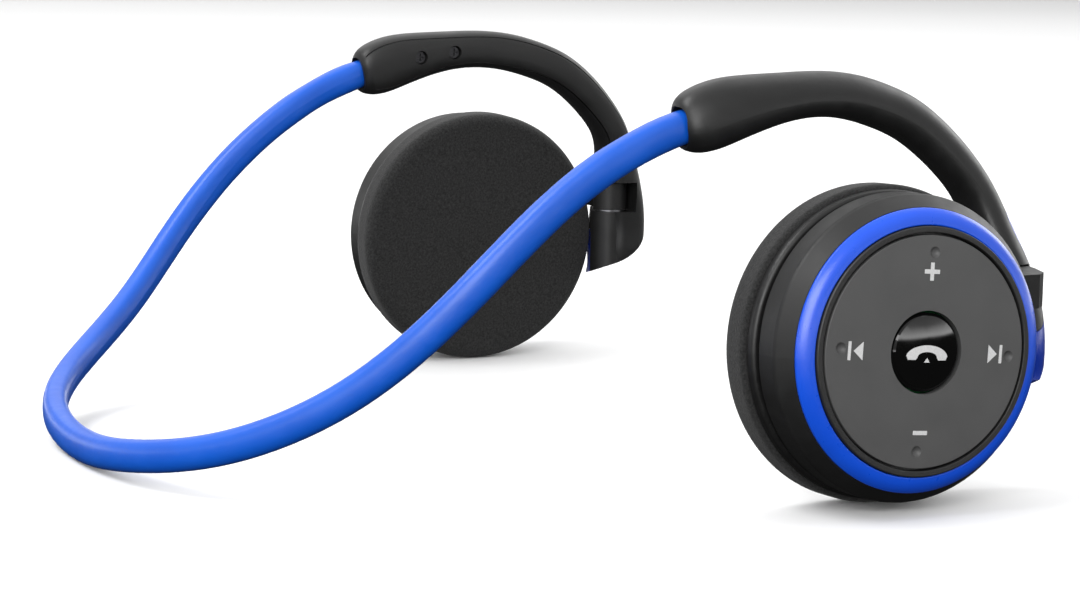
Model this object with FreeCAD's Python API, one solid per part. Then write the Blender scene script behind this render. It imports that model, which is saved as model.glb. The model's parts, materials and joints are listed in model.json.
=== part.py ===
import FreeCAD, Part
import math
import os

# Behind-the-neck folding on-ear headphones, in millimetres.
# +X is the wearer's left, +Y the back of the head, +Z up, and the floor is Z = 0.
# Everything on the left is built first, and the right side is its mirror image in X = 0.
# A cup is built in its own frame: h runs outward from the pad's face along +X,
# y runs to the rear and z up, all from the middle of the pad's face.

V = FreeCAD.Vector

# ---- driving dimensions ----
PAD_R = 26.3            # foam pad radius
PAD_THICK = 6.4         # foam pad thickness
PAD_ROUND = 2.2         # rounding of the pad's face edge
PAD_SHIFT = 0.5         # that the pad and its rim sit to the rear of the cup's axis
PAD_X = 73.7            # half the distance between the two pad faces
CUP_Y = -39.0           # cup axis, fore and aft
CUP_TILT = 2.3          # degrees that a cup's outer face leans up
RIM_R = 25.5            # rolled rim behind the pad
RIM_IN_R = 18.0
SIDE_R = 25.2           # cup side wall
SIDE_START = 8.8        # where the side wall begins, outward from the pad's face
SIDE_END = 13.7         # where its chamfer begins
FACE_H = 16.6           # flat outer face of the housing
FACE_R = 23.2
RING_OUT_R = 23.1       # blue ring
RING_IN_R = 20.35
RING_OUT_H = 17.0
RING_IN_H = 18.4
BEZEL_IN_R = 19.25
DISC_R = 18.85          # control disc and plain disc
DISC_H = 18.9
DISC_THICK = 1.2
DISC_CROWN = 0.3
DISC_SPIN = 5.4         # degrees that the signs lean towards the front
DOT_RING_R = 16.1
DIMPLE_R = 1.1          # ball that each of the disc's four dimples is cut with
DIMPLE_DEPTH = 0.5
BUTTON_R = 6.4
BUTTON_HOLE_R = 6.75
BUTTON_H = 19.45
BUTTON_CROWN = 0.4
BUTTON_BEVEL = 0.5
WALL = 1.5
SHOULDER = 1.2          # rounding between the side wall and its chamfer
BOARD_TOP = FACE_H - WALL - 0.1
BOARD_THICK = 0.9
SWITCH_TOP = BOARD_TOP + 1.3
ROCK_GAP = 0.35         # room over a switch for the disc to rock
PRESS_GAP = 0.65        # room over the middle switch for the button's travel
SEAM = 0.2              # visible gap between two shells

HINGE_H = -3.2          # hinge axis in the cup's frame
HINGE_Y = -28.0
PIN_R = 1.0
LUG_LOW = 5.9           # the cup's hinge lug, in the cup's height
LUG_HIGH = 11.6
LUG_MIDDLE = (LUG_LOW + LUG_HIGH) / 2
LUG_R = 3.6
BLOCK_R = 4.1
FORK_GAP = 0.3

BAND_LATERAL = 2.3      # half the neckband's thickness
BAND_TALL = 2.8         # half its height
CORE_LATERAL = 0.4
CORE_TALL = 1.2
LEAD_R = 0.45
LEAD_OFFSET = 1.25
HOOK_LEAD_R = 0.7
FIT = 0.06              # clearance round the steel core and the leads

# Neckband centre line from the middle of its rear to inside the left hook.
BAND_POINTS = [(0, 72.4, 2.85), (22.5, 70.2, 4.7), (41.7, 60.9, 9.0), (55.8, 45.5, 18.8),
               (64.0, 32.5, 31.9), (66.7, 22.0, 43.0), (67.2, 9.4, 53.5), (67.7, -5.9, 61.2),
               (67.5, -12.3, 62.9)]

# Left hook: centre (x, y, z), half its width across, half its height, from the neckband
# over the ear and down to the hinge.
HOOK = [((67.4, -6.9, 61.6), 3.2, 3.5), ((67.5, -8.1, 61.9), 4.3, 4.6),
        ((67.7, -10.4, 62.7), 4.9, 5.3), ((67.9, -14.2, 64.0), 5.1, 5.4),
        ((67.9, -19.9, 65.3), 4.9, 4.75), ((67.7, -26.7, 66.3), 4.6, 4.0),
        ((67.1, -34.1, 66.6), 4.4, 3.8), ((66.5, -40.7, 65.8), 4.3, 3.85),
        ((66.1, -45.8, 64.4), 4.25, 3.85), ((66.0, -51.2, 62.2), 4.2, 3.8),
        ((66.3, -56.6, 58.5), 4.2, 3.65), ((66.9, -61.4, 53.9), 4.3, 3.45),
        ((67.5, -64.9, 49.2), 4.5, 3.35), ((68.5, -66.9, 44.2), 5.0, 3.6),
        ((69.7, -68.2, 39.2), 6.3, 4.0), ((71.1, -69.4, 33.6), 7.5, 4.4),
        ((72.2, -69.9, 28.0), 8.3, 4.6), ((72.7, -69.9, 22.4), 8.6, 4.6),
        ((73.0, -69.8, 16.2), 8.6, 4.6)]
END_Z = 22.0            # lower end of the hook at its front, where x is 68
END_SLANT_X = 0.27      # its fall outward and to the rear
END_SLANT_Y = 0.25
END_FRONT_Y = -74.6     # its front and outer corners
END_FRONT_ROUND = 8.0
END_OUTER_X = 81.5
END_OUTER_ROUND = 3.5
HOOK_WALL = 1.5
COVER_INSET = 1.25
TRIM_DEPTH = 1.1
SCREW_SPOTS = [(-19.3, 65.1), (-26.9, 66.1)]
SCREW_HEAD_X = 64.35    # inner end of the left hook's screws
SCREW_SEAT_X = 65.15    # where their heads bear on the cover's bosses
SCREW_END_X = 68.75
BOSS_END_X = 66.0
BAFFLE_SCREW_ANGLES = (0, 120, 240)
BAFFLE_SCREW_RING = 20.4


def cup_z():
    """Height of a cup's axis at which the pad's lower edge just meets the floor."""
    tilt = math.radians(CUP_TILT)
    return PAD_ROUND + (PAD_R - PAD_ROUND) * math.cos(tilt) - PAD_ROUND * math.sin(tilt)


def seated(shape):
    """Move a shape from the left cup's own frame to its place."""
    placed = shape.copy()
    placed.rotate(V(0, 0, 0), V(0, 1, 0), -CUP_TILT)
    placed.translate(V(PAD_X, CUP_Y, cup_z()))
    return placed


def mirrored(shape):
    return shape.mirror(V(0, 0, 0), V(1, 0, 0))


def turned(points):
    """Solid of revolution about the cup's axis, from (h, radius) corners."""
    corners = [V(h, r, 0) for h, r in points]
    outline = Part.Face(Part.makePolygon(corners + corners[:1]))
    return outline.revolve(V(0, 0, 0), V(1, 0, 0), 360)


def disc(h0, h1, radius, y=0.0, z=0.0):
    return Part.makeCylinder(radius, h1 - h0, V(h0, y, z), V(1, 0, 0))


def tube(h0, h1, outer, inner):
    return disc(h0, h1, outer).cut(disc(h0 - 1, h1 + 1, inner))


def upright(shape):
    """Turn a piece of the hinge so that it stands plumb once its cup is seated."""
    shape.rotate(V(HINGE_H, HINGE_Y, LUG_MIDDLE), V(0, 1, 0), CUP_TILT)
    return shape


def post(z0, z1, radius, h=HINGE_H, y=HINGE_Y):
    """Cylinder parallel to the hinge axis."""
    return upright(Part.makeCylinder(radius, z1 - z0, V(h, y, z0), V(0, 0, 1)))


def slab(outline, z0, z1):
    """Prism standing on an (h, y) outline, parallel to the hinge axis."""
    corners = [V(h, y, z0) for h, y in outline]
    face = Part.Face(Part.makePolygon(corners + corners[:1]))
    return upright(face.extrude(V(0, 0, z1 - z0)))


def box(low, high):
    size = [b - a for a, b in zip(low, high)]
    return Part.makeBox(size[0], size[1], size[2], V(*low))


def softened(shape, radius, wanted):
    """Round the edges for which wanted(edge) is true."""
    edges = [edge for edge in shape.Edges if wanted(edge)]
    return shape.makeFillet(radius, edges)


def on_circle(h, radius):
    """Test for a full circle about the cup's axis, at this h and radius."""
    def test(edge):
        if edge.Degenerated or not isinstance(edge.Curve, Part.Circle):
            return False
        curve = edge.Curve
        return abs(curve.Radius - radius) < 0.02 and abs(curve.Center.x - h) < 0.02
    return test


def around(angle, radius):
    """Point (y, z) on the outer face, from an angle turned from straight up to the front."""
    turn = math.radians(angle)
    return -radius * math.sin(turn), radius * math.cos(turn)


# ---- paths and lofts ----
def smooth(points):
    curve = Part.BSplineCurve()
    curve.interpolate([V(*p) for p in points])
    return curve


def frame_at(curve, parameter):
    """Point and unit tangent of a curve."""
    point = curve.value(parameter)
    tangent = V(curve.tangent(parameter)[0])
    tangent.normalize()
    return point, tangent


def solid_loft(sections):
    """Solid through closed sections, with its faces turned outward."""
    solid = Part.makeLoft(sections, True, False)
    if solid.Volume < 0:
        solid.reverse()
    return solid


def closed_wire(points):
    curve = Part.BSplineCurve()
    curve.interpolate(Points=points, PeriodicFlag=True)
    return Part.Wire(curve.toShape())


def power(value, exponent):
    return math.copysign(abs(value) ** exponent, value)


def band_section(point, tangent, lateral, tall, count=20, squareness=2.5):
    """Closed section across the neckband; lateral is the level direction across it."""
    across = tangent.cross(V(0, 0, 1))
    across.normalize()
    height = across.cross(tangent)
    exponent = 2.0 / squareness
    points = []
    for step in range(count):
        turn = 2 * math.pi * step / count
        side = lateral * power(math.cos(turn), exponent)
        rise = tall * power(math.sin(turn), exponent)
        points.append(point + across * side + height * rise)
    return closed_wire(points)


def band_curve():
    far_half = [(-x, y, z) for x, y, z in BAND_POINTS[:0:-1]]
    return smooth(far_half + BAND_POINTS)


def band_mouth():
    """Straight passage through the hook's rear end for the neckband, with a little room."""
    curve = band_curve()
    point, tangent = frame_at(curve, curve.LastParameter)
    section = band_section(point + tangent * 0.3, tangent, BAND_LATERAL + 0.4, BAND_TALL + 0.4)
    return Part.Face(section).extrude(tangent * -10)


def along_band(lateral, tall, squareness=2.5):
    """Loft along the whole neckband, from one end to its mirror image at the other."""
    curve = band_curve()
    first, last = curve.FirstParameter, curve.LastParameter
    sections = []
    stations = 44
    for step in range(stations + 1):
        at = first + (last - first) * step / stations
        point, tangent = frame_at(curve, at)
        sections.append(band_section(point, tangent, lateral, tall, squareness=squareness))
    return solid_loft(sections)


def hook_section(curve, centre, outer, inner, half, ridge=0.0, count=28):
    """Section of the hook: rounded with a low ridge outside, flatter on the head's side."""
    point, tangent = frame_at(curve, curve.parameter(V(*centre)))
    across = V(1, 0, 0) - tangent * tangent.x
    across.normalize()
    height = tangent.cross(across)
    points = []
    for step in range(count):
        turn = 2 * math.pi * step / count
        swing, rise = math.cos(turn), math.sin(turn)
        squareness = 2.05 if swing > 0 else 2.9
        exponent = 2.0 / squareness
        side = (outer if swing > 0 else inner) * power(swing, exponent)
        up = half * power(rise, exponent)
        if swing > 0:
            up -= ridge * half * swing ** 2
        points.append(point + across * side + height * up)
    return closed_wire(points)


def hook_loft(shrink=0.0, first=0, last=None, ridge=0.22):
    """The hook's outer form, or a smaller one inside it, over some of its stations."""
    curve = smooth([centre for centre, width, half in HOOK])
    sections = []
    for centre, width, half in HOOK[first:last]:
        outer, inner, tall = width - shrink, 0.88 * width - shrink, half - shrink
        sections.append(hook_section(curve, centre, outer, inner, tall, ridge))
    return solid_loft(sections)


def hook_strip(inset, depth, first=0, last=None):
    """Bar along the hook's inner side that marks where its cover fits."""
    curve = smooth([centre for centre, width, half in HOOK])
    sections = []
    for centre, width, half in HOOK[first:last]:
        point, tangent = frame_at(curve, curve.parameter(V(*centre)))
        across = V(1, 0, 0) - tangent * tangent.x
        across.normalize()
        height = tangent.cross(across)
        tall = half - inset
        near = -0.88 * width + depth
        far = -width - 2
        corners = [point + across * side + height * up
                   for side, up in ((far, -tall), (near, -tall), (near, tall), (far, tall))]
        sections.append(Part.makePolygon(corners + corners[:1]))
    return solid_loft(sections)


# ---- neckband ----
def wire_along(path, places, radius, shift=0.0):
    """Round wire through these points of a path, moved level across it by shift."""
    sections = []
    for place in places:
        point, tangent = frame_at(path, path.parameter(place))
        across = tangent.cross(V(0, 0, 1))
        across.normalize()
        circle = Part.Circle(point + across * shift, tangent, radius)
        sections.append(Part.Wire(circle.toShape()))
    return solid_loft(sections)


def neckband():
    core = along_band(CORE_LATERAL, CORE_TALL, squareness=6)
    core_channel = along_band(CORE_LATERAL + FIT, CORE_TALL + FIT, squareness=6)
    curve = band_curve()
    span = curve.LastParameter - curve.FirstParameter
    places = [curve.value(curve.FirstParameter + span * step / 44) for step in range(45)]
    lead = wire_along(curve, places, LEAD_R, LEAD_OFFSET)
    lead_channel = wire_along(curve, places, LEAD_R + FIT, LEAD_OFFSET)
    sheath = along_band(BAND_LATERAL, BAND_TALL)
    sheath = sheath.cut(core_channel).cut(lead_channel)
    return {"neckband_sheath": sheath, "neckband_spring_core": core, "neckband_lead": lead}


# ---- hook ----
def fork_space():
    """Space in the hook's end for the cup's lug, and the way it swings, in the cup's frame."""
    low, high = LUG_LOW - FORK_GAP - 0.1, LUG_HIGH + FORK_GAP
    outline = [(-14, HINGE_Y - 3.6), (2.5, HINGE_Y - 3.6), (8, HINGE_Y - 2.9),
               (14, HINGE_Y - 1.6), (14, HINGE_Y + 12), (-14, HINGE_Y + 12)]
    return slab(outline, low, high)


def rounded_corner(corner, radius, up, along):
    """Outline of a tall space whose foot meets its side in a quarter round."""
    side = corner + up * radius
    middle = corner + (up + along) * (0.293 * radius)
    foot = corner + along * radius
    arc = Part.Arc(side, middle, foot).toShape()
    far = corner + along * 100
    rest = Part.makePolygon([foot, far, far + up * 130, corner + up * 130, side])
    return Part.Face(Part.Wire([arc] + rest.Edges))


def hook_end():
    """Space that holds the hook: its slanted lower end, rounded at the front and outside."""
    up = V(0, 0, 1)
    front = V(50, END_FRONT_Y, END_Z + END_SLANT_X * (68 - 50))
    side_view = rounded_corner(front, END_FRONT_ROUND, up, V(0, 1, -END_SLANT_Y))
    form = side_view.extrude(V(50, 0, -50 * END_SLANT_X))
    outer = V(END_OUTER_X, 0, END_Z - END_SLANT_X * (END_OUTER_X - 68) + END_SLANT_Y * END_FRONT_Y)
    front_view = rounded_corner(outer, END_OUTER_ROUND, up, V(-1, 0, END_SLANT_X))
    return form.common(front_view.extrude(V(0, -100, 100 * END_SLANT_Y)))


def trim_zone(gap=0.0):
    """Front and lower outside of the hook's end, bounded by the black tongue above."""
    edge = [(-69.6, 47.6), (-68.7, 46.0), (-69.0, 43.6), (-70.2, 40.6), (-71.3, 38.1), (-72.6, 34.6),
            (-73.3, 31.9), (-72.9, 29.4), (-71.1, 27.8), (-68.6, 27.0), (-64.1, 26.8)]
    curve = smooth([(50, y - 0.7 * gap, z - 0.7 * gap) for y, z in edge])
    start = curve.value(curve.FirstParameter)
    end = curve.value(curve.LastParameter)
    outline = Part.Wire([curve.toShape()] + Part.makePolygon(
        [end, V(50, -55, end.z), V(50, -55, 5), V(50, -90, 5), V(50, -90, start.z), start]).Edges)
    side_view = Part.Face(outline).extrude(V(60, 0, 0))
    front = [(68.0 + gap, 50), (71.2 + gap, 30), (71.6 + gap, 5), (95, 5), (95, 50)]
    corners = [V(x, -95, z) for x, z in front]
    front_view = Part.Face(Part.makePolygon(corners + corners[:1])).extrude(V(0, 50, 0))
    return side_view.common(front_view)


def cup_clearance():
    return disc(-0.5, 30, PAD_R + 0.6)


def at_screws(radius, x0, x1):
    """Cylinders across the left hook at both of its screws."""
    return Part.makeCompound([Part.makeCylinder(radius, x1 - x0, V(x0, y, z), V(1, 0, 0))
                              for y, z in SCREW_SPOTS])


def hook_screws():
    """Two screws with a cross recess in each head."""
    screws = at_screws(1.15, SCREW_HEAD_X, SCREW_SEAT_X).fuse(at_screws(0.55, SCREW_SEAT_X, SCREW_END_X))
    reach = SCREW_HEAD_X + 0.4
    for y, z in SCREW_SPOTS:
        screws = screws.cut(box((63, y - 0.14, z - 0.75), (reach, y + 0.14, z + 0.75)))
        screws = screws.cut(box((63, y - 0.75, z - 0.14), (reach, y + 0.75, z + 0.14)))
    return screws.removeSplitter()


def hook():
    form = hook_loft()
    hollow = hook_loft(shrink=HOOK_WALL, first=2, last=14)
    strip = hook_strip(COVER_INSET, 1.15, first=1, last=14)
    strip_gap = hook_strip(COVER_INSET - SEAM, 1.15 + 0.05, first=1, last=14)
    cover = form.common(strip).cut(hollow)
    cover = cover.fuse(at_screws(1.9, SCREW_HEAD_X - 0.6, BOSS_END_X).common(form))
    cover = cover.cut(at_screws(1.4, 57, SCREW_SEAT_X)).cut(at_screws(0.62, 57, 70))
    shell = form.cut(strip_gap).cut(hollow).cut(band_mouth()).cut(at_screws(2.0, 57, 67))
    zone = trim_zone()
    core_form = hook_loft(shrink=TRIM_DEPTH, first=11)
    trim = form.cut(core_form).common(trim_zone(SEAM))
    trim_room = zone.cut(core_form)
    shell = shell.cut(trim_room)
    space = seated(fork_space())
    clearance = seated(cup_clearance())
    end = hook_end()
    block = seated(post(-9, LUG_LOW - FORK_GAP - 0.1, BLOCK_R)).common(end).cut(trim_room)
    shell = shell.fuse(block)
    shell = shell.cut(space).cut(clearance).common(end)
    trim = trim.cut(clearance).common(end)
    pin_hole = seated(post(-4.5, 15.0, PIN_R + 0.01))
    shell = shell.cut(pin_hole)
    return shell, cover, trim


def hook_inside():
    """Block that grips the neckband's end inside the hook, the hook's lead and its clip."""
    curve = band_curve()
    end, tangent = frame_at(curve, curve.LastParameter)
    inner = hook_loft(shrink=HOOK_WALL + 0.25, first=2, last=8)
    front = HOOK[6][0][1] - 2.0
    anchor = inner.common(box((60, front, 50), (75, end.y + 1.5, 75)))
    anchor = anchor.cut(band_mouth())
    anchor = anchor.cut(at_screws(2.0, 57, BOSS_END_X + 0.05)).cut(at_screws(0.57, 57, 70))
    stations = [centre for centre, width, half in HOOK[6:13]]
    path = smooth(stations)
    places = [V(*centre) for centre in stations]
    lead = wire_along(path, places, HOOK_LEAD_R)
    anchor = anchor.cut(wire_along(path, places, HOOK_LEAD_R + 0.3))
    return anchor, lead


# ---- hinge ----
def lug():
    """Knuckle and arm that carry the cup, ending inside the housing's side wall."""
    knuckle = post(LUG_LOW, LUG_HIGH, LUG_R)
    outline = [(HINGE_H, HINGE_Y - LUG_R), (5.5, HINGE_Y - 2.6), (11.0, -28.6), (13.0, -26.4),
               (13.2, -22.0), (SIDE_START + 0.2, -22.0), (SIDE_START + 0.2, -25.9),
               (7.6, -26.6), (HINGE_H, HINGE_Y + 1.6)]
    return knuckle.fuse(slab(outline, LUG_LOW, LUG_HIGH)).removeSplitter()


def hinge_pin():
    return seated(post(-4.5, 15.0, PIN_R))


def hinge_washer():
    low = LUG_LOW - FORK_GAP - 0.05
    ring = post(low, low + 0.22, LUG_R - 0.5).cut(post(low - 1, low + 1, PIN_R + 0.08))
    return seated(ring)


# ---- cup ----
def ear_pad():
    back = PAD_THICK
    outer = PAD_R
    form = turned([(0, 0), (0, outer), (back, outer), (back, 0)])
    form = softened(form, PAD_ROUND, on_circle(0, outer))
    form = softened(form, 0.6, on_circle(back, outer))
    form.translate(V(0, PAD_SHIFT, 0))
    return form


def pad_rim():
    """Smooth rolled rim that the pad is stretched over."""
    low, high = PAD_THICK + 0.1, SIDE_START - 0.35
    ring = turned([(low, RIM_IN_R), (low, RIM_R), (high, RIM_R), (high, RIM_IN_R)])
    ring = softened(ring, 0.8, on_circle(high, RIM_R))
    ring = softened(ring, 0.4, on_circle(low, RIM_R))
    ring.translate(V(0, PAD_SHIFT, 0))
    return ring


def at_baffle_screws(h0, h1, radius, ring=BAFFLE_SCREW_RING):
    """Cylinders at the three screws that hold the baffle."""
    return Part.makeCompound([disc(h0, h1, radius, *around(angle, ring))
                              for angle in BAFFLE_SCREW_ANGLES])


def baffle():
    """Plate between the speaker and the pad, with its sound holes."""
    low, high = SIDE_START - 0.3, SIDE_START + 0.9
    plate = disc(low, high, SIDE_R - WALL - 0.15)
    plate = plate.fuse(disc(PAD_THICK + 0.2, low + 0.2, 17.3))
    holes = [disc(0, 12, 0.9)]
    for ring_r, count in ((4.5, 6), (8.5, 12)):
        for step in range(count):
            y, z = around(360.0 * step / count, ring_r)
            holes.append(disc(0, 12, 0.9, y, z))
    plate = plate.cut(Part.makeCompound(holes))
    return plate.cut(at_baffle_screws(0, 12, 0.75)).removeSplitter()


def baffle_screws():
    low = SIDE_START - 0.3
    return at_baffle_screws(low, low + 4.2, 0.7)


def housing():
    """Open cup with a chamfered edge, an outer shelf and bosses for the baffle's screws."""
    low = SIDE_START
    outer = [(low, SIDE_R - 0.4), (low + 0.4, SIDE_R), (SIDE_END, SIDE_R), (FACE_H, FACE_R)]
    inner = [(FACE_H, 17.6), (FACE_H - WALL, 17.6), (FACE_H - WALL, FACE_R - 1.3),
             (SIDE_END - 0.4, SIDE_R - WALL), (low, SIDE_R - WALL)]
    shell = softened(turned(outer + inner), SHOULDER, on_circle(SIDE_END, SIDE_R))
    hinge_root = lug().cut(disc(low - 3, 30, SIDE_R - WALL + 0.3))
    shell = shell.fuse(hinge_root)
    bosses = at_baffle_screws(low + 1.3, FACE_H - 1, 1.6)
    webs = at_baffle_screws(low + 1.3, FACE_H - 1, 1.3, ring=22.2)
    shell = shell.fuse(bosses).fuse(webs.common(disc(0, 30, SIDE_R - 0.5)))
    shell = shell.cut(at_baffle_screws(low + 1, low + 5.5, 0.72))
    shell = shell.cut(post(LUG_LOW - 1, LUG_HIGH + 1, PIN_R + 0.06))
    return shell.removeSplitter()


def port_slot(grow=0.0):
    """Charging socket's place in the lower side wall of the right cup."""
    middle = (SIDE_START + SIDE_END) / 2
    slot = box((middle - 1.25 - grow, -3.8 - grow, -SIDE_R - 1),
               (middle + 1.25 + grow, 3.8 + grow, -SIDE_R + 6))
    return slot


def charging_socket():
    outer = port_slot(-0.1).common(disc(0, 30, SIDE_R - 0.35))
    middle = (SIDE_START + SIDE_END) / 2
    mouth = box((middle - 0.8, -3.3, -SIDE_R - 1), (middle + 0.8, 3.3, -SIDE_R + 4.5))
    tongue = box((middle - 0.25, -2.4, -SIDE_R + 1.2), (middle + 0.25, 2.4, -SIDE_R + 5))
    return outer.cut(mouth).fuse(tongue)


def face_ring():
    """Blue ring on the outer face, gently domed, with a small step at each edge."""
    base = FACE_H + 0.02
    outer_foot = V(base, RING_OUT_R, 0)
    outer_top = V(RING_OUT_H, RING_OUT_R, 0)
    inner_top = V(RING_IN_H, RING_IN_R, 0)
    inner_foot = V(base, RING_IN_R, 0)
    bulge = (outer_top + inner_top) * 0.5 + V(0.32, 0.16, 0)
    edges = [Part.LineSegment(outer_foot, outer_top).toShape(),
             Part.Arc(outer_top, bulge, inner_top).toShape(),
             Part.LineSegment(inner_top, inner_foot).toShape(),
             Part.LineSegment(inner_foot, outer_foot).toShape()]
    ring = Part.Face(Part.Wire(edges)).revolve(V(0, 0, 0), V(1, 0, 0), 360)
    ring = softened(ring, 0.22, on_circle(RING_IN_H, RING_IN_R))
    return softened(ring, 0.18, on_circle(RING_OUT_H, RING_OUT_R))


def bezel(inner=BEZEL_IN_R):
    """Dark ring between the blue ring and the disc, with a floor that closes the groove."""
    outer = RING_IN_R - 0.08
    top = DISC_H - 0.05
    ring = tube(FACE_H + 0.02, top, outer, inner)
    ring = softened(ring, 0.25, on_circle(top, outer))
    ring = softened(ring, 0.15, on_circle(top, inner))
    ledge = tube(FACE_H + 0.02, FACE_H + 0.5, inner + 0.3, 17.0)
    return ring.fuse(ledge).removeSplitter()


def disc_form(hole=0.0):
    """Slightly crowned round plate that fills the bezel."""
    low, edge = DISC_H - DISC_THICK, DISC_H - 0.1
    rim = V(edge, DISC_R, 0)
    middle = V(edge + DISC_CROWN, hole, 0)
    between = V(edge + DISC_CROWN * 0.72, (DISC_R + hole) * 0.53, 0)
    edges = [Part.LineSegment(V(low, hole, 0), V(low, DISC_R, 0)).toShape(),
             Part.LineSegment(V(low, DISC_R, 0), rim).toShape(),
             Part.Arc(rim, between, middle).toShape(),
             Part.LineSegment(middle, V(low, hole, 0)).toShape()]
    plate = Part.Face(Part.Wire(edges)).revolve(V(0, 0, 0), V(1, 0, 0), 360)
    return softened(plate, 0.15, on_circle(edge, DISC_R))


def control_disc():
    """Rocking plate with four round dimples, four feet behind it and a hole for the button."""
    plate = disc_form(BUTTON_HOLE_R)
    for quarter in range(4):
        angle = 90 * quarter + DISC_SPIN
        y, z = around(angle, DOT_RING_R)
        surface = DISC_H - 0.1 + DISC_CROWN * (1 - (DOT_RING_R / DISC_R) ** 2)
        plate = plate.cut(Part.makeSphere(DIMPLE_R, V(surface + DIMPLE_R - DIMPLE_DEPTH, y, z)))
        y, z = around(angle, 13.0)
        plate = plate.fuse(disc(SWITCH_TOP + ROCK_GAP, DISC_H - DISC_THICK + 0.1, 1.0, y, z))
    return plate.removeSplitter()


def call_button():
    """Round key with a slightly domed face and a bevelled edge, and its stem."""
    low = DISC_H - DISC_THICK - 0.1
    ball = (BUTTON_R ** 2 + BUTTON_CROWN ** 2) / (2 * BUTTON_CROWN)
    cap = disc(low, BUTTON_H, BUTTON_R).common(Part.makeSphere(ball, V(BUTTON_H - ball, 0, 0)))
    rim = on_circle(BUTTON_H - BUTTON_CROWN, BUTTON_R)
    cap = cap.makeChamfer(BUTTON_BEVEL, [edge for edge in cap.Edges if rim(edge)])
    stem = disc(SWITCH_TOP + PRESS_GAP, low + 0.1, 1.6)
    return cap.fuse(stem).removeSplitter()


def rocker_spring():
    """Thin ring between the board and the disc that lets the disc rock both ways."""
    top = DISC_H - DISC_THICK - 0.35
    ring = tube(top - 0.25, top, 10.2, 8.4)
    return ring


def main_board():
    board = disc(BOARD_TOP - BOARD_THICK, BOARD_TOP, 18.4)
    return board.cut(at_baffle_screws(0, 30, 2.1))


def press_switches():
    top = BOARD_TOP
    spots = [(0.0, 0.0)] + [around(90 * quarter + DISC_SPIN, 13.0) for quarter in range(4)]
    switches = []
    for y, z in spots:
        body = box((top, y - 1.5, z - 1.5), (top + 0.8, y + 1.5, z + 1.5))
        switches.append(body.fuse(disc(top + 0.7, SWITCH_TOP, 0.9, y, z)).removeSplitter())
    return Part.makeCompound(switches)


def radio_module():
    low = BOARD_TOP - BOARD_THICK
    return box((low - 1.3, 3.0, 3.0), (low, 11.0, 13.0))


def microphone():
    low = BOARD_TOP - BOARD_THICK
    return box((low - 1.1, -13.5, -8.0), (low, -10.5, -4.5))


def driver(kind):
    """Speaker: frame, magnet or diaphragm."""
    low = SIDE_START + 0.95
    if kind == "frame":
        return turned([(low, 12.6), (low, 15.0), (low + 1.0, 15.0), (low + 1.0, 14.0),
                       (low + 2.0, 9.0), (low + 2.8, 9.0), (low + 2.8, 7.7), (low + 1.5, 7.7),
                       (low + 1.5, 8.6), (low + 0.8, 12.6)])
    if kind == "magnet":
        return disc(low + 1.6, low + 2.75, 7.6)
    return turned([(low + 0.15, 0), (low + 0.15, 6.0), (low + 0.5, 12.5), (low + 0.65, 12.5),
                   (low + 0.65, 12.0), (low + 0.4, 6.0), (low + 0.4, 0)])


def plain_disc():
    """Cover of the cup without controls: one plate that closes the bezel."""
    plate = disc_form(0.0)
    return plate


def battery():
    top = FACE_H - 0.6
    cell = box((top - 2.6, -12.5, -8.0), (top, 12.5, 8.0))
    return softened(cell, 1.0, lambda edge: abs(edge.Length - 2.6) < 0.01)


def battery_tray():
    top = FACE_H - 0.6
    low = top - 2.75
    tray = box((low - 0.7, -13.4, -8.9), (low + 1.6, 13.4, 8.9))
    tray = tray.cut(box((low, -12.6, -8.1), (low + 4, 12.6, 8.1)))
    return tray


def cup_parts():
    """Pieces that both cups have."""
    return {"ear_pad": ear_pad(), "pad_rim": pad_rim(), "baffle": baffle(),
            "baffle_screws": baffle_screws(), "housing": housing(), "face_ring": face_ring(),
            "bezel": bezel(), "driver_frame": driver("frame"), "driver_magnet": driver("magnet"),
            "driver_diaphragm": driver("diaphragm")}


def hook_parts():
    shell, cover, trim = hook()
    anchor, lead = hook_inside()
    return {"hook_shell": shell, "hook_cover": cover, "hinge_trim": trim,
            "hook_screws": hook_screws(), "neckband_clamp": anchor,
            "hook_lead": lead, "hinge_pin": hinge_pin(), "hinge_washer": hinge_washer()}


def save(name, shape):
    solids = shape.Solids
    sizes = [round(solid.Volume, 2) for solid in solids]
    print(name, "ok" if shape.isValid() and min(sizes) > 0 else "BAD", len(solids), sizes[:6])
    shape.exportStep("parts/" + name + ".step")


def main():
    os.makedirs("parts", exist_ok=True)
    for name, shape in neckband().items():
        save(name, shape)
    for name, shape in hook_parts().items():
        save(name + "_left", shape)
        save(name + "_right", mirrored(shape))
    for name, shape in cup_parts().items():
        save(name + "_left", seated(shape))
        if name == "housing":
            shape = shape.cut(port_slot())
        save(name + "_right", mirrored(seated(shape)))
    left_only = {"plain_disc": plain_disc(), "battery": battery(), "battery_tray": battery_tray()}
    for name, shape in left_only.items():
        save(name, seated(shape))
    right_only = {"control_disc": control_disc(), "call_button": call_button(),
                  "rocker_spring": rocker_spring(), "main_board": main_board(),
                  "press_switches": press_switches(), "radio_module": radio_module(),
                  "microphone": microphone(), "charging_socket": charging_socket()}
    for name, shape in right_only.items():
        save(name, mirrored(seated(shape)))


main()
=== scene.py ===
"""Behind-the-neck folding headphones: looks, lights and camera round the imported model. Metres."""
import json
import math

import bmesh
import bpy
from mathutils import Matrix, Quaternion, Vector
from mathutils.bvhtree import BVHTree


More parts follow.
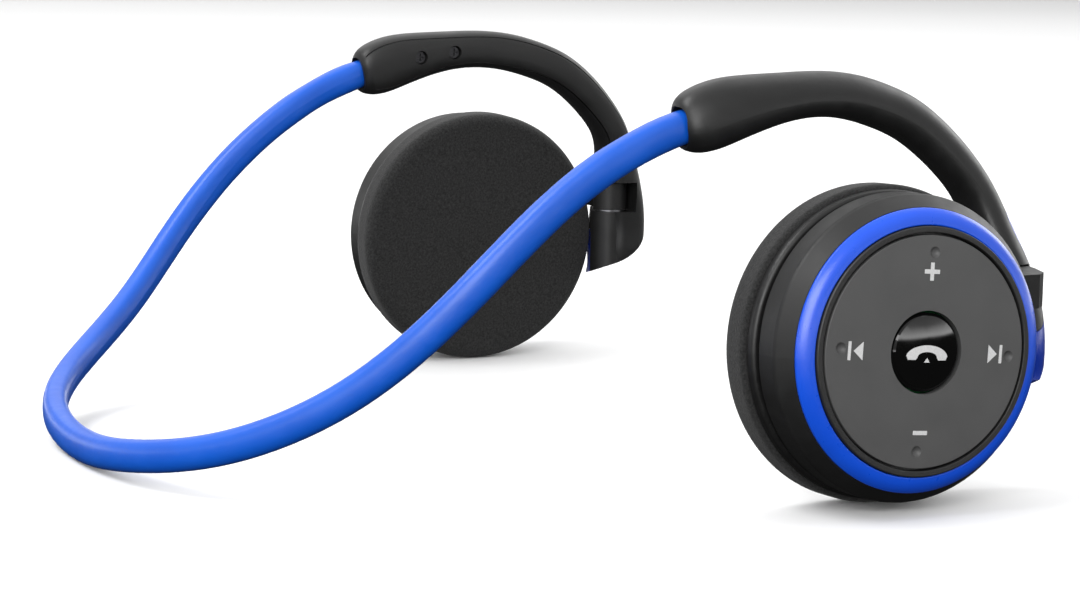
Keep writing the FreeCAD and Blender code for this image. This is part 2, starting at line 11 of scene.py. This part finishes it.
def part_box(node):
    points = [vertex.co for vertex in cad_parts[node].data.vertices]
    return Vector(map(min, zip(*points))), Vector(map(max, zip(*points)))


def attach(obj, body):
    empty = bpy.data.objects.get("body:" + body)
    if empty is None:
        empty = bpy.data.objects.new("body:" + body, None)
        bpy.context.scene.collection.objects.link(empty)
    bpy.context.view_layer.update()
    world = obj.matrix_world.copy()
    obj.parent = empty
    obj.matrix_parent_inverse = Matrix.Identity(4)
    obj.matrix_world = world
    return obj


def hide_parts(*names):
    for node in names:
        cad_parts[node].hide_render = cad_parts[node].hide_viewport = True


MM = 0.001

# ---- camera, from the object's own frame ----
CAMERA_AT = Vector((-461.6, 213.2, 97.3)) * MM
CAMERA_YAW = -0.4606        # radians, of the view's direction, from +X
CAMERA_PITCH = 0.1428       # radians below level
CAMERA_ROLL = 0.0193        # radians, about its own view
CAMERA_LENS = 93.3          # for a 36 mm wide sensor

# ---- sizes of what is added to the CAD pieces ----
PRINT_LIFT = 0.03 * MM      # height of the printed signs over what they are printed on
SIGN_SPIN = 4.2             # degrees that the signs lean towards the front
SIGN_RING = 13.0            # millimetres from the disc's middle to a sign's middle
SIGN_START = 40 * MM        # outward from the pad's face, clear of the cup, where signs are dropped from
PAD_TURNS = 144             # points round a foam pad
PAD_RINGS = 14              # rings over its face
PAD_EDGE = 2.2 * MM         # rounding of its face edge
PAD_BACK = 0.7 * MM         # rounding of its back edge

# ---- stage ----
FLOOR_HALF = 6.0            # half the floor's width
FLOOR_DROP = 0.1 * MM       # that keeps the floor clear of what stands on it
LIGHTS_AIM = Vector((0, 0, 35)) * MM

# Sky brightness, at heights from 0 straight down, over 0.5 at the horizon, to 1 straight up.
SKY = [(0.0, 0.03), (0.495, 0.03), (0.501, 6.0), (0.53, 1.2), (0.56, 0.5), (0.75, 0.62), (1.0, 0.7)]
SKY_PEAK = 6.0

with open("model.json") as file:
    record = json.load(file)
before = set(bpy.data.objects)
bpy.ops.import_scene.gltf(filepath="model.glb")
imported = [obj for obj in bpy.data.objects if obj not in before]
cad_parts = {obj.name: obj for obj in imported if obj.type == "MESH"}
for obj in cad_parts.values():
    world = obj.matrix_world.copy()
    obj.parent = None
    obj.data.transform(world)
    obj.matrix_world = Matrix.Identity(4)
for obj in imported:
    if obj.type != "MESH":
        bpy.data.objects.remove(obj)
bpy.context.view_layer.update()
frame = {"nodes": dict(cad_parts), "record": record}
NODES = frame["nodes"]


# ---- materials ----
def linear(red, green, blue):
    """Scene-linear colour from display values of 0 to 255."""
    def channel(value):
        share = value / 255
        return share / 12.92 if share <= 0.04045 else ((share + 0.055) / 1.055) ** 2.4
    return (channel(red), channel(green), channel(blue), 1.0)


class Finish:
    """A Principled material with object coordinates in millimetres to hang its detail on."""

    def __init__(self, name, colour, roughness, **sockets):
        self.material = bpy.data.materials.new(name)
        self.material.use_nodes = True
        self.tree = self.material.node_tree
        self.shader = self.tree.nodes["Principled BSDF"]
        self.shader.inputs["Base Color"].default_value = colour
        self.shader.inputs["Roughness"].default_value = roughness
        for socket, value in sockets.items():
            self.shader.inputs[socket.replace("_", " ")].default_value = value
        place = self.add("ShaderNodeTexCoord")
        scale = self.add("ShaderNodeVectorMath", operation="SCALE")
        scale.inputs["Scale"].default_value = 1 / MM
        self.link(place.outputs["Object"], scale.inputs[0])
        self.place = scale.outputs[0]
        self.bumped = None

    def add(self, kind, **settings):
        node = self.tree.nodes.new(kind)
        for key, value in settings.items():
            setattr(node, key, value)
        return node

    def link(self, start, end):
        self.tree.links.new(start, end)

    def noise(self, size, detail=2.0, rough=0.5):
        """Noise whose features are about this many millimetres across."""
        node = self.add("ShaderNodeTexNoise")
        node.inputs["Scale"].default_value = 1 / size
        node.inputs["Detail"].default_value = detail
        node.inputs["Roughness"].default_value = rough
        self.link(self.place, node.inputs["Vector"])
        return node.outputs["Fac"]

    def cells(self, size, feature="F1"):
        """Distances in a pattern of cells about this many millimetres across."""
        node = self.add("ShaderNodeTexVoronoi", feature=feature)
        node.inputs["Scale"].default_value = 1 / size
        self.link(self.place, node.inputs["Vector"])
        return node.outputs["Distance"]

    def between(self, value, low, high):
        """A value of 0 to 1 spread over low to high."""
        node = self.add("ShaderNodeMapRange")
        node.inputs["From Min"].default_value = 0.3
        node.inputs["From Max"].default_value = 0.7
        node.inputs["To Min"].default_value = low
        node.inputs["To Max"].default_value = high
        self.link(value, node.inputs["Value"])
        return node.outputs["Result"]

    def bump(self, value, depth, strength=1.0):
        """Relief this many millimetres deep."""
        node = self.add("ShaderNodeBump")
        node.inputs["Strength"].default_value = strength
        node.inputs["Distance"].default_value = depth * MM
        self.link(value, node.inputs["Height"])
        if self.bumped:
            self.link(self.bumped, node.inputs["Normal"])
        self.bumped = node.outputs["Normal"]
        self.link(self.bumped, self.shader.inputs["Normal"])

    def tint(self, value, dark, light):
        """Base colour that wanders between two colours."""
        node = self.add("ShaderNodeMix", data_type="RGBA")
        self.link(self.between(value, 0.0, 1.0), node.inputs["Factor"])
        node.inputs["A"].default_value = dark
        node.inputs["B"].default_value = light
        self.link(node.outputs["Result"], self.shader.inputs["Base Color"])

    def polish(self, value, low, high):
        """Roughness that wanders between two values."""
        self.link(self.between(value, low, high), self.shader.inputs["Roughness"])


def soft_touch(name, shade, roughness, grain=0.16):
    """Black moulded plastic with a fine matt grain."""
    finish = Finish(name, linear(shade, shade, shade), roughness)
    finish.tint(finish.noise(6.0), linear(shade - 2, shade - 2, shade - 2),
                linear(shade + 3, shade + 3, shade + 3))
    finish.polish(finish.noise(3.0, 3.0), roughness - 0.04, roughness + 0.05)
    finish.bump(finish.noise(grain, 3.0, 0.6), 0.012, 0.6)
    return finish.material


def satin_blue(name, dark, light, roughness, coat, grain, depth):
    """Blue plastic with a faint orange-peel skin."""
    finish = Finish(name, linear(*light), roughness, Coat_Weight=coat, Coat_Roughness=0.25)
    finish.tint(finish.noise(9.0), linear(*dark), linear(*light))
    finish.polish(finish.noise(2.5, 3.0), roughness - 0.03, roughness + 0.04)
    finish.bump(finish.noise(grain, 2.0), depth, 0.6)
    return finish.material


def foam():
    """Open-cell foam: pores of a third of a millimetre under a dusty sheen."""
    finish = Finish("pad_foam", linear(24, 24, 24), 0.95, Sheen_Weight=0.12, Sheen_Roughness=0.6)
    finish.shader.inputs["Specular IOR Level"].default_value = 0.15
    finish.tint(finish.noise(0.4, 4.0, 0.7), linear(20, 20, 20), linear(54, 54, 54))
    finish.bump(finish.cells(0.36), 0.08, 0.6)
    finish.bump(finish.noise(0.2, 3.0, 0.7), 0.05, 0.6)
    return finish.material


def polished_black():
    """Glossy black with a barely uneven polish."""
    finish = Finish("button_gloss", linear(9, 9, 9), 0.06)
    finish.polish(finish.noise(4.0), 0.04, 0.07)
    finish.bump(finish.noise(2.5), 0.0015, 0.3)
    return finish.material


def metal(name, colour, roughness, grain=0.2):
    """Metal with a fine uneven grain."""
    finish = Finish(name, colour, roughness, Metallic=1.0)
    finish.polish(finish.noise(grain, 3.0), roughness - 0.08, roughness + 0.1)
    finish.bump(finish.noise(grain, 2.0), 0.006, 0.5)
    return finish.material


def board():
    """Green lacquered board with lighter copper tracks under the lacquer."""
    finish = Finish("board_green", linear(10, 70, 35), 0.3)
    tracks = finish.cells(1.6, "DISTANCE_TO_EDGE")
    finish.tint(tracks, linear(30, 110, 60), linear(8, 62, 32))
    return finish.material


def print_ink():
    """Pale grey ink."""
    finish = Finish("sign_ink", linear(212, 212, 212), 0.55)
    finish.tint(finish.noise(0.3, 3.0), linear(205, 205, 205), linear(219, 219, 219))
    finish.bump(finish.noise(0.1), 0.004, 0.5)
    return finish.material


def paint_nodes():
    """Give every CAD node its material by the record's slot."""
    made = {
        "band_blue": satin_blue("band_blue", (4, 84, 196), (8, 90, 204),
                                roughness=0.42, coat=0.15, grain=0.5, depth=0.010),
        "trim_blue": satin_blue("trim_blue", (10, 52, 170), (13, 58, 180),
                                roughness=0.3, coat=0.3, grain=0.6, depth=0.006),
        "ring_blue": satin_blue("ring_blue", (14, 78, 214), (18, 84, 222),
                                roughness=0.3, coat=0.4, grain=0.8, depth=0.004),
        "hook_black": soft_touch("hook_black", 22, 0.42),
        "cover_black": soft_touch("cover_black", 26, 0.48),
        "rim_black": soft_touch("rim_black", 18, 0.42, 0.3),
        "baffle_black": soft_touch("baffle_black", 24, 0.6),
        "housing_black": soft_touch("housing_black", 20, 0.5, 0.22),
        "bezel_black": soft_touch("bezel_black", 36, 0.42),
        "disc_black": soft_touch("disc_black", 78, 0.5, 0.12),
        "clamp_nylon": soft_touch("clamp_nylon", 60, 0.6),
        "frame_grey": soft_touch("frame_grey", 90, 0.6),
        "microphone_black": soft_touch("microphone_black", 30, 0.6),
        "lead_black": soft_touch("lead_black", 24, 0.7),
        "diaphragm_film": soft_touch("diaphragm_film", 150, 0.3),
        "pad_foam": foam(),
        "button_gloss": polished_black(),
        "screw_steel": metal("screw_steel", linear(70, 70, 72), 0.38),
        "pin_steel": metal("pin_steel", linear(180, 180, 182), 0.3),
        "spring_steel": metal("spring_steel", linear(170, 170, 175), 0.35),
        "magnet_metal": metal("magnet_metal", linear(190, 190, 190), 0.25),
        "switch_metal": metal("switch_metal", linear(190, 190, 188), 0.35),
        "socket_metal": metal("socket_metal", linear(185, 185, 188), 0.3),
        "battery_foil": metal("battery_foil", linear(200, 200, 200), 0.3, 0.6),
        "board_green": board(),
    }
    for part in frame["record"]["subparts"]:
        for holder in NODES[part["node"]].material_slots:
            holder.material = made[part["material_slot"]]
    return made


# ---- a cup's own axes ----
class Cup:
    """Axes on a cup's outside: u to the right as seen from outside, v up, w outward."""

    def __init__(self, side):
        mounts = {mount["name"]: mount for mount in frame["record"]["mounts"]}
        mount = mounts[side + "_pad_face"]
        self.w = -Vector(mount["axis"])
        self.u = Vector((0, math.copysign(1.0, self.w.x), 0))
        self.v = self.w.cross(self.u)
        self.middle = Vector(mount["pos_m"])
        self.body = "cup_" + side

    def at(self, u, v, w):
        """Point at these distances from the middle of the pad's face."""
        return self.middle + self.u * u + self.v * v + self.w * w


# ---- printed signs ----
def rounded(points, radius, steps=4):
    """Outline with each corner rounded by a small curve."""
    outline = []
    count = len(points)
    for index, corner in enumerate(points):
        here = Vector(corner)
        before = Vector(points[index - 1]) - here
        after = Vector(points[(index + 1) % count]) - here
        reach = min(radius, 0.4 * before.length, 0.4 * after.length)
        start = here + before.normalized() * reach
        end = here + after.normalized() * reach
        for step in range(steps + 1):
            share = step / steps
            outline.append(start.lerp(here, share).lerp(here.lerp(end, share), share))
    return outline


def print_sign(name, cup, node, body, outlines, middle=(0, 0)):
    """Thin printed sign laid on a node's outer surface. Outlines are in millimetres."""
    tree = BVHTree.FromObject(NODES[node], bpy.context.evaluated_depsgraph_get())
    turn = Matrix.Rotation(math.radians(-SIGN_SPIN), 2)
    mesh = bmesh.new()
    for outline in outlines:
        corners = []
        for point in outline:
            flat = turn @ (Vector(point) + Vector(middle))
            corners.append(mesh.verts.new((flat.x, flat.y, 0)))
        mesh.faces.new(corners)
    bmesh.ops.triangulate(mesh, faces=mesh.faces[:])
    bmesh.ops.subdivide_edges(mesh, edges=mesh.edges[:], cuts=2, use_grid_fill=True)
    for vert in mesh.verts:
        start = cup.at(vert.co.x * MM, vert.co.y * MM, SIGN_START)
        hit = tree.ray_cast(start, -cup.w)[0]
        vert.co = hit + cup.w * PRINT_LIFT
    grown = bmesh.ops.extrude_face_region(mesh, geom=mesh.faces[:])["geom"]
    under = [item for item in grown if isinstance(item, bmesh.types.BMVert)]
    bmesh.ops.translate(mesh, vec=-cup.w * 2 * PRINT_LIFT, verts=under)
    bmesh.ops.recalc_face_normals(mesh, faces=mesh.faces[:])
    data = bpy.data.meshes.new(name)
    mesh.to_mesh(data)
    mesh.free()
    sign = bpy.data.objects.new(name, data)
    bpy.context.scene.collection.objects.link(sign)
    data.materials.append(INK)
    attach(sign, body)
    return sign


def bar(width, height, x=0.0):
    """Upright or level bar, its middle x to the side."""
    half, tall = width / 2, height / 2
    corners = [(x - half, -tall), (x + half, -tall), (x + half, tall), (x - half, tall)]
    return rounded(corners, 0.08)


def plus():
    """Cross of two equal bars."""
    arm, thick = 1.45, 0.35
    corners = [(arm, thick), (thick, thick), (thick, arm), (-thick, arm), (-thick, thick), (-arm, thick),
               (-arm, -thick), (-thick, -thick), (-thick, -arm), (thick, -arm), (thick, -thick), (arm, -thick)]
    return rounded(corners, 0.06)


def skip(direction):
    """Triangle that points at a bar."""
    corners = [(-1.0, 1.5), (0.75, 0.0), (-1.0, -1.5)]
    triangle = [(x * direction, y) for x, y in corners]
    return [rounded(triangle, 0.06), bar(0.55, 3.0, 1.5 * direction)]


def arch(wide, tall, base, first, last, steps=16):
    """Points of an elliptical arch over a base line, between two angles in degrees."""
    points = []
    for step in range(steps + 1):
        turn = math.radians(first + (last - first) * step / steps)
        points.append(Vector((wide * math.cos(turn), base + tall * math.sin(turn))))
    return points


def handset():
    """Telephone receiver lying down over a small triangle: a flat arch with a blunt ear at each end."""
    outline = arch(4.0, 2.1, -0.9, 10, 170)
    outline += [Vector((-3.6, -1.2)), Vector((-2.15, -1.2))]
    outline += arch(1.85, 0.87, -0.75, 180, 0)
    outline += [Vector((2.15, -1.2)), Vector((3.6, -1.2))]
    triangle = rounded([(-0.55, -1.58), (0.55, -1.58), (0.0, -0.82)], 0.05)
    return [outline, triangle]


def signs():
    """The four signs of the control disc, and the one on the call button."""
    cup = Cup("right")
    round_disc = [
        ("sign_plus", [plus()], (0, SIGN_RING)),
        ("sign_minus", [bar(2.7, 0.68)], (0, -SIGN_RING)),
        ("sign_next", skip(1), (SIGN_RING, 0)),
        ("sign_previous", skip(-1), (-SIGN_RING, 0)),
    ]
    for name, outlines, middle in round_disc:
        print_sign(name, cup, "control_disc", "control_disc", outlines, middle)
    print_sign("sign_call", cup, "call_button", "call_button", handset())


# ---- foam pads ----
def bridge(mesh, first, second):
    """Faces between two rows of points; a row of one point closes the form."""
    for step in range(PAD_TURNS):
        after = (step + 1) % PAD_TURNS
        if len(first) == 1:
            mesh.faces.new((first[0], second[step], second[after]))
        elif len(second) == 1:
            mesh.faces.new((first[step], first[after], second[0]))
        else:
            mesh.faces.new((first[step], first[after], second[after], second[step]))


def pad_profile(radius, depth):
    """Corners (w, r) from the middle of the face, round the edge, to the middle of the back."""
    points = [(0.0, 0.0)]
    for step in range(1, PAD_RINGS + 1):
        points.append((0.0, (radius - PAD_EDGE) * step / PAD_RINGS))
    for step in range(1, 9):
        turn = math.pi / 2 * step / 8
        points.append((PAD_EDGE * (1 - math.cos(turn)), radius - PAD_EDGE + PAD_EDGE * math.sin(turn)))
    for step in range(1, 5):
        points.append((PAD_EDGE + (depth - PAD_BACK - PAD_EDGE) * step / 5, radius))
    for step in range(5):
        turn = math.pi / 2 * step / 4
        points.append((depth - PAD_BACK + PAD_BACK * math.sin(turn),
                       radius - PAD_BACK + PAD_BACK * math.cos(turn)))
    points.append((depth, radius * 0.5))
    points.append((depth, 0.0))
    return points


def foam_pad(side):
    """Round foam pad, turned about its cup's axis: a flat face with a soft rolled edge."""
    node = NODES["ear_pad_" + side]
    cup = Cup(side)
    low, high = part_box("ear_pad_" + side)
    radius = (high.y - low.y) / 2
    cup.middle.y = (high.y + low.y) / 2
    depth = max((vert.co - cup.middle).dot(cup.w) for vert in node.data.vertices)
    mesh = bmesh.new()
    rows = []
    for w, r in pad_profile(radius, depth):
        if r == 0:
            rows.append([mesh.verts.new(cup.at(0, 0, w))])
            continue
        turns = [2 * math.pi * step / PAD_TURNS for step in range(PAD_TURNS)]
        rows.append([mesh.verts.new(cup.at(r * math.cos(turn), r * math.sin(turn), w)) for turn in turns])
    for first, second in zip(rows, rows[1:]):
        bridge(mesh, first, second)
    bmesh.ops.recalc_face_normals(mesh, faces=mesh.faces[:])
    name = "foam_pad_" + side
    data = bpy.data.meshes.new(name)
    mesh.to_mesh(data)
    mesh.free()
    pad = bpy.data.objects.new(name, data)
    bpy.context.scene.collection.objects.link(pad)
    data.materials.append(MATERIALS["pad_foam"])
    for face in data.polygons:
        face.use_smooth = True
    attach(pad, cup.body)
    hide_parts("ear_pad_" + side)


# ---- camera, lights and floor ----
def view_axes():
    """The camera's right, up and forward directions."""
    level = math.cos(CAMERA_PITCH)
    forward = Vector((math.cos(CAMERA_YAW) * level, math.sin(CAMERA_YAW) * level, -math.sin(CAMERA_PITCH)))
    right = forward.cross(Vector((0, 0, 1))).normalized()
    right.rotate(Quaternion(forward, -CAMERA_ROLL))
    return right, right.cross(forward), forward


def camera():
    """The camera, turned to view_axes."""
    data = bpy.data.cameras.new("camera")
    data.lens = CAMERA_LENS
    data.sensor_width = 36.0
    data.clip_start = 0.01
    data.clip_end = 50.0
    eye = bpy.data.objects.new("camera", data)
    right, up, forward = view_axes()
    eye.location = CAMERA_AT
    eye.rotation_euler = Matrix((right, up, -forward)).transposed().to_euler()
    bpy.context.scene.collection.objects.link(eye)
    bpy.context.scene.camera = eye


def softbox(name, place, size, power):
    """Square area light that faces the object. Place is right, up and back from LIGHTS_AIM, in metres."""
    right, up, forward = view_axes()
    data = bpy.data.lights.new(name, "AREA")
    data.shape = "SQUARE"
    data.size = size
    data.energy = power
    lamp = bpy.data.objects.new(name, data)
    lamp.location = LIGHTS_AIM + right * place[0] + up * place[1] - forward * place[2]
    lamp.rotation_euler = (LIGHTS_AIM - lamp.location).to_track_quat("-Z", "Y").to_euler()
    bpy.context.scene.collection.objects.link(lamp)


def floor():
    """Pale floor that the object doesn't mirror, so that its undersides stay dark."""
    mesh = bmesh.new()
    bmesh.ops.create_grid(mesh, x_segments=8, y_segments=8, size=FLOOR_HALF)
    data = bpy.data.meshes.new("floor")
    mesh.to_mesh(data)
    mesh.free()
    ground = bpy.data.objects.new("floor", data)
    ground.location = (0, 0, -FLOOR_DROP)
    ground.visible_diffuse = False
    ground.visible_glossy = False
    bpy.context.scene.collection.objects.link(ground)
    finish = Finish("floor_white", (0.95, 0.95, 0.95, 1.0), 0.7)
    finish.shader.inputs["Specular IOR Level"].default_value = 0.1
    data.materials.append(finish.material)


def sky():
    """Dark under the horizon, brightest at it, and even above."""
    world = bpy.data.worlds.new("studio")
    world.use_nodes = True
    tree = world.node_tree
    direction = tree.nodes.new("ShaderNodeTexCoord")
    parts = tree.nodes.new("ShaderNodeSeparateXYZ")
    share = tree.nodes.new("ShaderNodeMapRange")
    share.inputs["From Min"].default_value = -1.0
    ramp = tree.nodes.new("ShaderNodeValToRGB")
    stops = ramp.color_ramp.elements
    while len(stops) < len(SKY):
        stops.new(1.0)
    for stop, (position, brightness) in zip(stops, SKY):
        stop.position = position
        share_of_peak = brightness / SKY_PEAK
        stop.color = (share_of_peak, share_of_peak, share_of_peak, 1.0)
    tree.nodes["Background"].inputs["Strength"].default_value = SKY_PEAK
    tree.links.new(direction.outputs["Generated"], parts.inputs["Vector"])
    tree.links.new(parts.outputs["Z"], share.inputs["Value"])
    tree.links.new(share.outputs["Result"], ramp.inputs["Fac"])
    tree.links.new(ramp.outputs["Color"], tree.nodes["Background"].inputs["Color"])
    bpy.context.scene.world = world


def stage():
    """Floor, sky and four soft lights."""
    floor()
    sky()
    softbox("key", (-0.7, 1.0, 0.35), 0.55, 8.0)
    softbox("top", (0.0, 1.6, -0.9), 2.4, 16.0)
    softbox("front", (-0.25, 0.35, 1.4), 0.9, 15.0)
    softbox("rim", (0.9, 0.6, -0.7), 0.6, 4.0)
    bpy.context.scene.view_settings.view_transform = "Standard"


INK = print_ink()
MATERIALS = paint_nodes()
camera()
stage()
signs()
for side in ("left", "right"):
    foam_pad(side)
